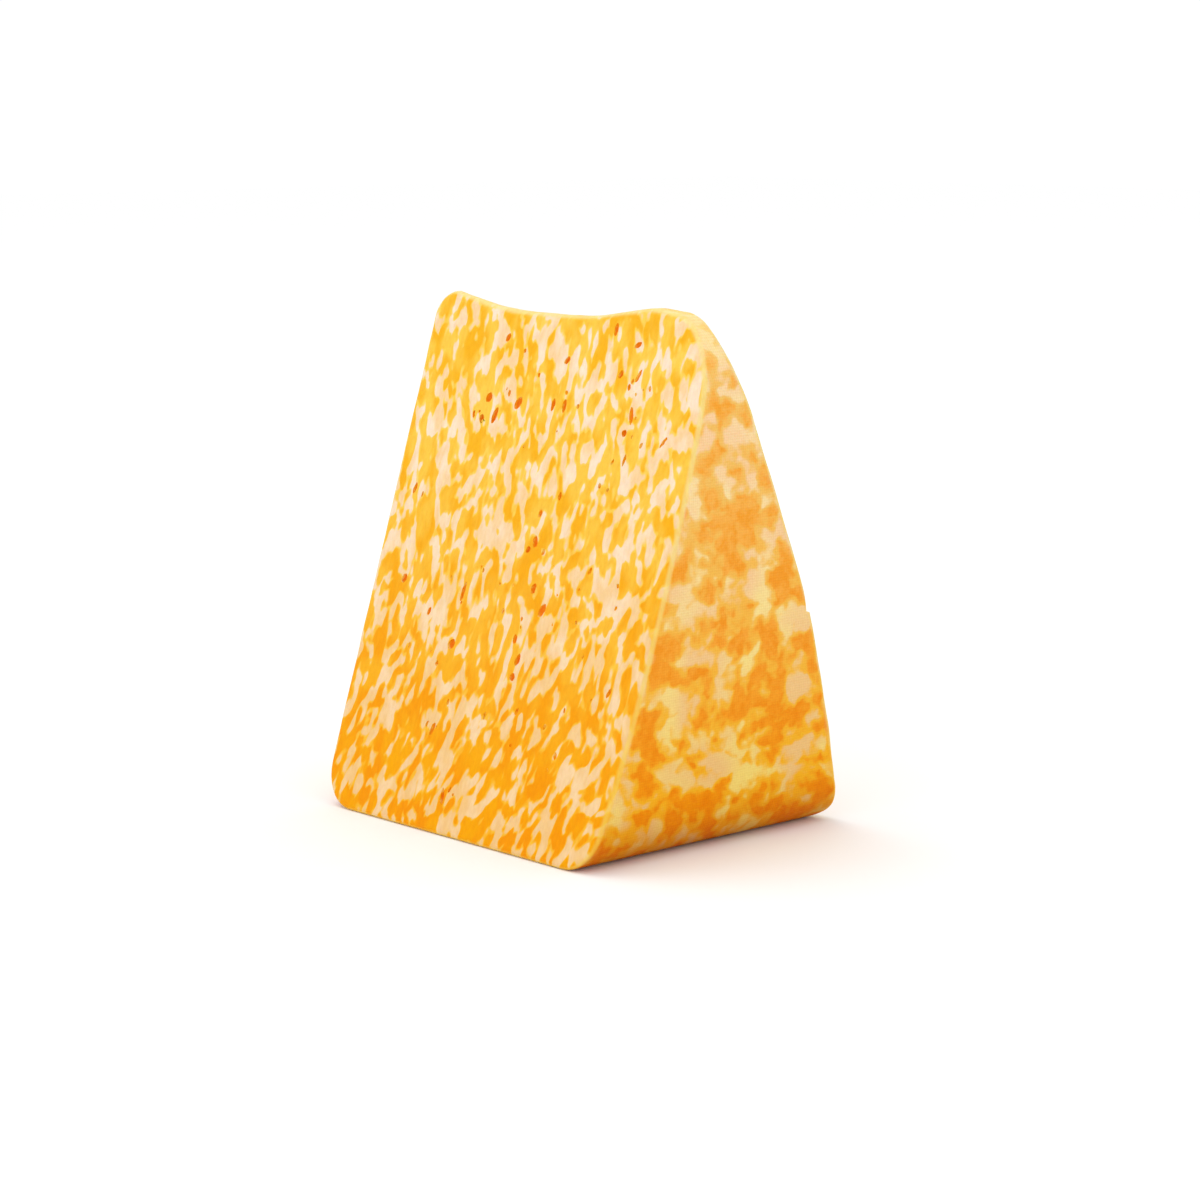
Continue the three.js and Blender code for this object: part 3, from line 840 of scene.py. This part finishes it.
def cheese_finish():
    """Orange and cream cheese: moist on the cuts, and printed by cheesecloth on the rind"""
    finish, graph = new_finish("marbled_cheese")
    place = graph.place()
    x, y, z = graph.parts(place)
    rind = graph.mark("rind")
    colour = cheese_colour(graph, place, x, y, z, rind)
    cloth = (graph.wave(x, CLOTH_PITCH) + graph.wave(z, CLOTH_PITCH)) * CLOTH_WAVE * rind
    veil = graph.noise(graph.join(x, y, z * VEIL_Z), *VEIL_NOISE) - 0.5
    print_left = graph.noise(place, *PRINT_NOISE) - 0.5
    # painted shade: the rind turns darker and redder over its lowest 16 mm, towards the floor
    foot = graph.step(z, *FOOT_PAINTED_SHADE_HEIGHTS) * rind
    shade = (1 + veil * VEIL_TONE * (1 - rind) - foot * FOOT_PAINTED_SHADE
             + (cloth * CLOTH_TONE + print_left * PRINT_TONE) * rind)
    # a darker place is also a redder one, as cheese lets red light through
    colour = graph.add("ShaderNodeVectorMath", {"operation": "MULTIPLY"}, {
        0: colour, 1: graph.join(shade, shade * shade, shade * shade * shade)})
    colour = graph.scaled(colour, 1 + rind * RIND_LIGHTER)
    grain = graph.noise(place, *GRAIN_NOISE)
    strokes = graph.noise(graph.join(x, y, z * STROKE_Z), *STROKE_NOISE) * (1 - rind)
    height = cloth * CLOTH_HEIGHT + grain * (CUT_GRAIN + rind * RIND_GRAIN) + strokes * STROKE_HEIGHT
    bump = graph.add("ShaderNodeBump", {}, {
        "Strength": BUMP_STRENGTH, "Distance": MM, "Height": height})
    rough = CUT_ROUGH + rind * RIND_ROUGHER + grain * GRAIN_ROUGHER
    close_finish(graph, {"Base Color": colour, "Roughness": rough, "Normal": bump})
    return finish


def opening_finish():
    """The walls of the openings, amber near the mouth and orange-red inside, where the darker, redder
    colour is painted shade
    """
    finish, graph = new_finish("opening_walls")
    tone = graph.noise(graph.place(), *OPENING_PATCHES)
    wall = graph.add("ShaderNodeValToRGB", {
        "stops": [(share, srgb(*colour)) for share, colour in OPENING_WALL]}, {0: tone})
    # painted shade: deeper in, the wall turns darker and redder
    deep = graph.step(graph.mark("from_cut"), *OPENING_SHADE_DEPTHS)
    colour = graph.mix(deep, wall, srgb(*OPENING_SHADED_BOTTOM))
    rough = OPENING_ROUGH + tone * GRAIN_ROUGHER
    close_finish(graph, {"Base Color": colour, "Roughness": rough})
    return finish


# The finished wedge

def new_piece(name, mesh):
    piece = bpy.data.objects.new(name, mesh)
    bpy.context.scene.collection.objects.link(piece)
    return piece


def made_plain(piece, modifier):
    """Turns a piece with one live modifier into its plain mesh"""
    made = bpy.data.meshes.new_from_object(piece.evaluated_get(bpy.context.evaluated_depsgraph_get()))
    piece.modifiers.remove(modifier)
    piece.data = made


def cut_away(body, cutter, name):
    """Takes a cutter's shape out of a body and keeps the cutter's finish on the new faces"""
    tool = body.modifiers.new(name, "BOOLEAN")
    tool.operation = "DIFFERENCE"
    tool.solver = "MANIFOLD"
    tool.material_mode = "TRANSFER"
    tool.object = cutter
    made_plain(body, tool)
    bpy.data.objects.remove(cutter)


def opening_cutters():
    """All the cutters of the openings, as one piece"""
    cutters = new_piece("opening_cutters", opening_places())
    tree, amounts = opening_tree(opening_finish())
    maker = cutters.modifiers.new("openings", "NODES")
    maker.node_group = tree
    for socket, value in amounts.items():
        maker[socket] = value
    made_plain(cutters, maker)
    return cutters


def cheese_wedge():
    """The whole piece: the softened skin with its relief, less the nick and the openings"""
    paint = cheese_finish()
    skin = wedge_skin()
    plain_corners = read_rows(skin.vertices, "co")
    add_relief(skin)
    skin.materials.append(paint)
    cheese = new_piece("cheese_wedge", skin)
    nick = nick_cutter()
    nick.materials.append(paint)
    cut_away(cheese, new_piece("nick_cutter", nick), "nick")
    cut_away(cheese, opening_cutters(), "openings")
    mesh = cheese.data
    mark_surface(mesh)
    cad_low, cad_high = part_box("cheese")
    shift = Vector((cad_low.x / MM - plain_corners[:, 0].min(),
                    cad_high.y / MM - plain_corners[:, 1].max(), 0))
    mesh.transform(Matrix.Scale(MM, 4) @ Matrix.Translation(shift))
    mesh.shade_smooth()
    mesh.set_sharp_from_angle(angle=math.radians(SHARP_ANGLE))
    return cheese


# Floor, light and camera, in metres and degrees

WORLD_LIGHT = 1.03
LAMPS = [("key_light", (-1.2, -0.35, 0.6), 0.9, 2.2), ("top_light", (-0.2, 0.35, 1.3), 0.7, 3.0)]
LAMP_TARGET = (0, 0, 0.05)
FLOOR_HALF = 4
# the floor's colour close to the wedge, greyer as a painted shade, and far off, and the distances in
# metres between which it fades
FLOOR_SHADED_NEAR = (0.92, 0.92, 0.92, 1)
FLOOR_FAR = (0.97, 0.97, 0.97, 1)
FLOOR_SHADE_FADE = (0.1, 0.7)

# The photograph's view, as fitted to the wedge's outline
CAMERA_PLACE = (-0.48906, -0.54376, 0.1755)
CAMERA_TURN = -42.3
CAMERA_DOWN = 9.5
CAMERA_LENS = 91.5
CAMERA_SENSOR = 36
CAMERA_REACH = 50


def soft_light(name, place, size, power):
    """A square lamp that faces the middle of the wedge"""
    lamp = bpy.data.lights.new(name, "AREA")
    lamp.shape = "SQUARE"
    lamp.size = size
    lamp.energy = power
    holder = new_piece(name, lamp)
    holder.location = place
    holder.rotation_euler = (Vector(place) - Vector(LAMP_TARGET)).to_track_quat("Z", "Y").to_euler()


def floor_finish():
    """White, with a painted shade that makes it a little greyer close to the wedge"""
    finish, graph = new_finish("white_floor")
    place = graph.add("ShaderNodeTexCoord", {}, {}, "Object")
    distance = graph.add("ShaderNodeVectorMath", {"operation": "LENGTH"}, {0: place}, "Value")
    tone = graph.mix(graph.step(distance, *FLOOR_SHADE_FADE), FLOOR_SHADED_NEAR, FLOOR_FAR)
    shader = graph.add("ShaderNodeBsdfDiffuse", {}, {"Color": tone})
    graph.add("ShaderNodeOutputMaterial", {}, {"Surface": shader})
    return finish


def studio():
    """An even white room, a floor and two soft lamps"""
    world = bpy.data.worlds.new("white_room")
    bpy.context.scene.world = world
    world.use_nodes = True
    background = world.node_tree.nodes["Background"]
    background.inputs["Color"].default_value = (1, 1, 1, 1)
    background.inputs["Strength"].default_value = WORLD_LIGHT
    shaper = bmesh.new()
    bmesh.ops.create_grid(shaper, x_segments=8, y_segments=8, size=FLOOR_HALF)
    mesh = bpy.data.meshes.new("floor")
    shaper.to_mesh(mesh)
    shaper.free()
    mesh.materials.append(floor_finish())
    new_piece("floor", mesh)
    for lamp in LAMPS:
        soft_light(*lamp)


def camera():
    """The photograph's view, in plain colours without a film look"""
    lens = bpy.data.cameras.new("camera")
    lens.lens = CAMERA_LENS
    lens.sensor_width = CAMERA_SENSOR
    lens.clip_end = CAMERA_REACH
    holder = new_piece("camera", lens)
    holder.location = CAMERA_PLACE
    holder.rotation_euler = Euler((math.radians(90 - CAMERA_DOWN), 0, math.radians(CAMERA_TURN)))
    bpy.context.scene.camera = holder
    bpy.context.scene.view_settings.view_transform = "Standard"


studio()
camera()
cheese = cheese_wedge()

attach(cheese, "root")
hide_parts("cheese")
